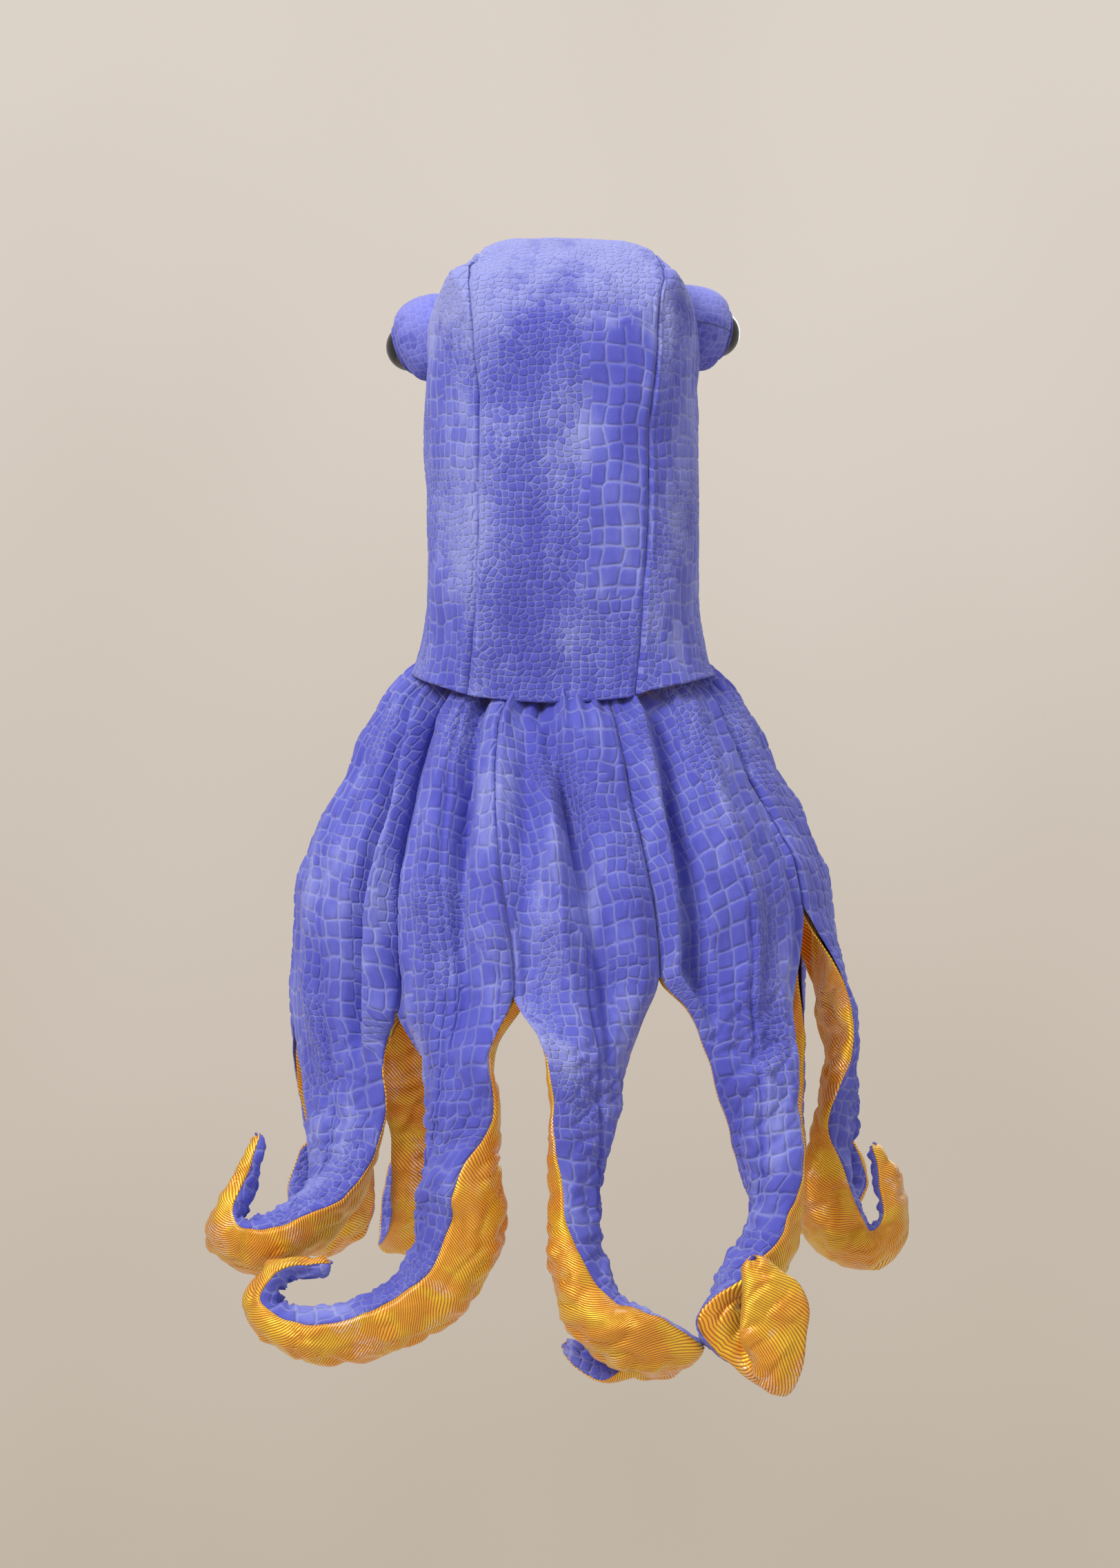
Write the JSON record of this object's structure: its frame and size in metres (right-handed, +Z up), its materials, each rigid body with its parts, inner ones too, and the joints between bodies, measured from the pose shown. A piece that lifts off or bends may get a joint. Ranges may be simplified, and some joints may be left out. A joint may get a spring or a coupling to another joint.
{
  "type": "hooded octopus costume cape",
  "caption": "Child's plush octopus dress-up cape: three-panel hood with stuffed eye puffs, gathered cape and stuffed curling arms with a shiny lining.",
  "frame": {"origin": "centre of the neck seam, where the hood joins the cape", "axes": "+Z up along the wearer's neck, +Y the way the wearer faces, +X the wearer's right"},
  "size_m": [0.5061, 0.426, 0.8332],
  "materials": {
    "plush": "matte",
    "lame_lining": "satin",
    "stuffing": "matte",
    "black_dome": "gloss",
    "washer": "satin",
    "neck_tape": "matte",
    "hook_tape": "matte",
    "loop_tape": "matte"
  },
  "bodies": {
    "cape": {"cape_lining_left": "lame_lining", "cape_lining_right": "lame_lining", "cape_panel_left_1": "plush", "cape_panel_left_2": "plush", "cape_panel_left_3": "plush", "cape_panel_left_4": "plush", "cape_panel_right_1": "plush", "cape_panel_right_2": "plush", "cape_panel_right_3": "plush", "cape_panel_right_4": "plush", "loop_patch": "loop_tape", "neck_band": "neck_tape"},
    "hood": {"eye_left_cover": "plush", "eye_left_dome": "black_dome", "eye_left_front_disc": "plush", "eye_left_stuffing": "stuffing", "eye_left_washer": "washer", "eye_right_cover": "plush", "eye_right_dome": "black_dome", "eye_right_front_disc": "plush", "eye_right_stuffing": "stuffing", "eye_right_washer": "washer", "hood_centre_panel": "plush", "hood_face_hem": "plush", "hood_left_panel": "plush", "hood_lining_centre_panel": "lame_lining", "hood_lining_left_panel": "lame_lining", "hood_lining_right_panel": "lame_lining", "hood_right_panel": "plush"},
    "neck_tab": {"neck_tab": "plush", "hook_patch": "hook_tape"},
    "arm_left_1": {"arm_left_1_lining": "lame_lining", "arm_left_1_plush": "plush", "arm_left_1_stuffing": "stuffing"},
    "arm_left_2": {"arm_left_2_lining": "lame_lining", "arm_left_2_plush": "plush", "arm_left_2_stuffing": "stuffing"},
    "arm_left_3": {"arm_left_3_lining": "lame_lining", "arm_left_3_plush": "plush", "arm_left_3_stuffing": "stuffing"},
    "arm_left_4": {"arm_left_4_lining": "lame_lining", "arm_left_4_plush": "plush", "arm_left_4_stuffing": "stuffing"},
    "arm_right_4": {"arm_right_4_lining": "lame_lining", "arm_right_4_plush": "plush", "arm_right_4_stuffing": "stuffing"},
    "arm_right_3": {"arm_right_3_lining": "lame_lining", "arm_right_3_plush": "plush", "arm_right_3_stuffing": "stuffing"},
    "arm_right_2": {"arm_right_2_lining": "lame_lining", "arm_right_2_plush": "plush", "arm_right_2_stuffing": "stuffing"},
    "arm_right_1": {"arm_right_1_lining": "lame_lining", "arm_right_1_plush": "plush", "arm_right_1_stuffing": "stuffing"}
  },
  "joints": [
    {"name": "arm_left_1_swing", "type": "hinge", "parent": "cape", "child": "arm_left_1", "pos_m": [-0.09796, 0.12868, -0.22057], "axis": [0.9132, 0.3873, -0.1269], "range_deg": [0, 60]},
    {"name": "arm_left_2_swing", "type": "hinge", "parent": "cape", "child": "arm_left_2", "pos_m": [-0.19116, 0.04041, -0.21263], "axis": [0.3664, 0.928, 0.0673], "range_deg": [0, 60]},
    {"name": "arm_left_3_swing", "type": "hinge", "parent": "cape", "child": "arm_left_3", "pos_m": [-0.1732, -0.075, -0.22273], "axis": [-0.6017, 0.7937, 0.0893], "range_deg": [0, 60]},
    {"name": "arm_left_4_swing", "type": "hinge", "parent": "cape", "child": "arm_left_4", "pos_m": [-0.08215, -0.14034, -0.22432], "axis": [-0.95, 0.2877, -0.1213], "range_deg": [0, 60]},
    {"name": "arm_right_4_swing", "type": "hinge", "parent": "cape", "child": "arm_right_4", "pos_m": [0.0191, -0.15019, -0.21267], "axis": [-0.9894, -0.0827, -0.1197], "range_deg": [0, 60]},
    {"name": "arm_right_3_swing", "type": "hinge", "parent": "cape", "child": "arm_right_3", "pos_m": [0.13078, -0.10804, -0.17999], "axis": [-0.7532, -0.5428, -0.3716], "range_deg": [0, 60]},
    {"name": "arm_right_2_swing", "type": "hinge", "parent": "cape", "child": "arm_right_2", "pos_m": [0.19313, -0.01012, -0.16183], "axis": [-0.11, -0.9792, 0.1703], "range_deg": [0, 60]},
    {"name": "arm_right_1_swing", "type": "hinge", "parent": "cape", "child": "arm_right_1", "pos_m": [0.15135, 0.09277, -0.18934], "axis": [0.7076, -0.6545, 0.2661], "range_deg": [0, 60]},
    {"name": "hood_tip_back", "type": "hinge", "parent": "cape", "child": "hood", "pos_m": [0, -0.076, 0.004], "axis": [1, 0, 0], "range_deg": [0, 75]},
    {"name": "neck_tab_open", "type": "hinge", "parent": "cape", "child": "neck_tab", "pos_m": [-0.00962, 0.06663, 0], "axis": [0, 0, 1], "range_deg": [0, 100]}
  ]
}
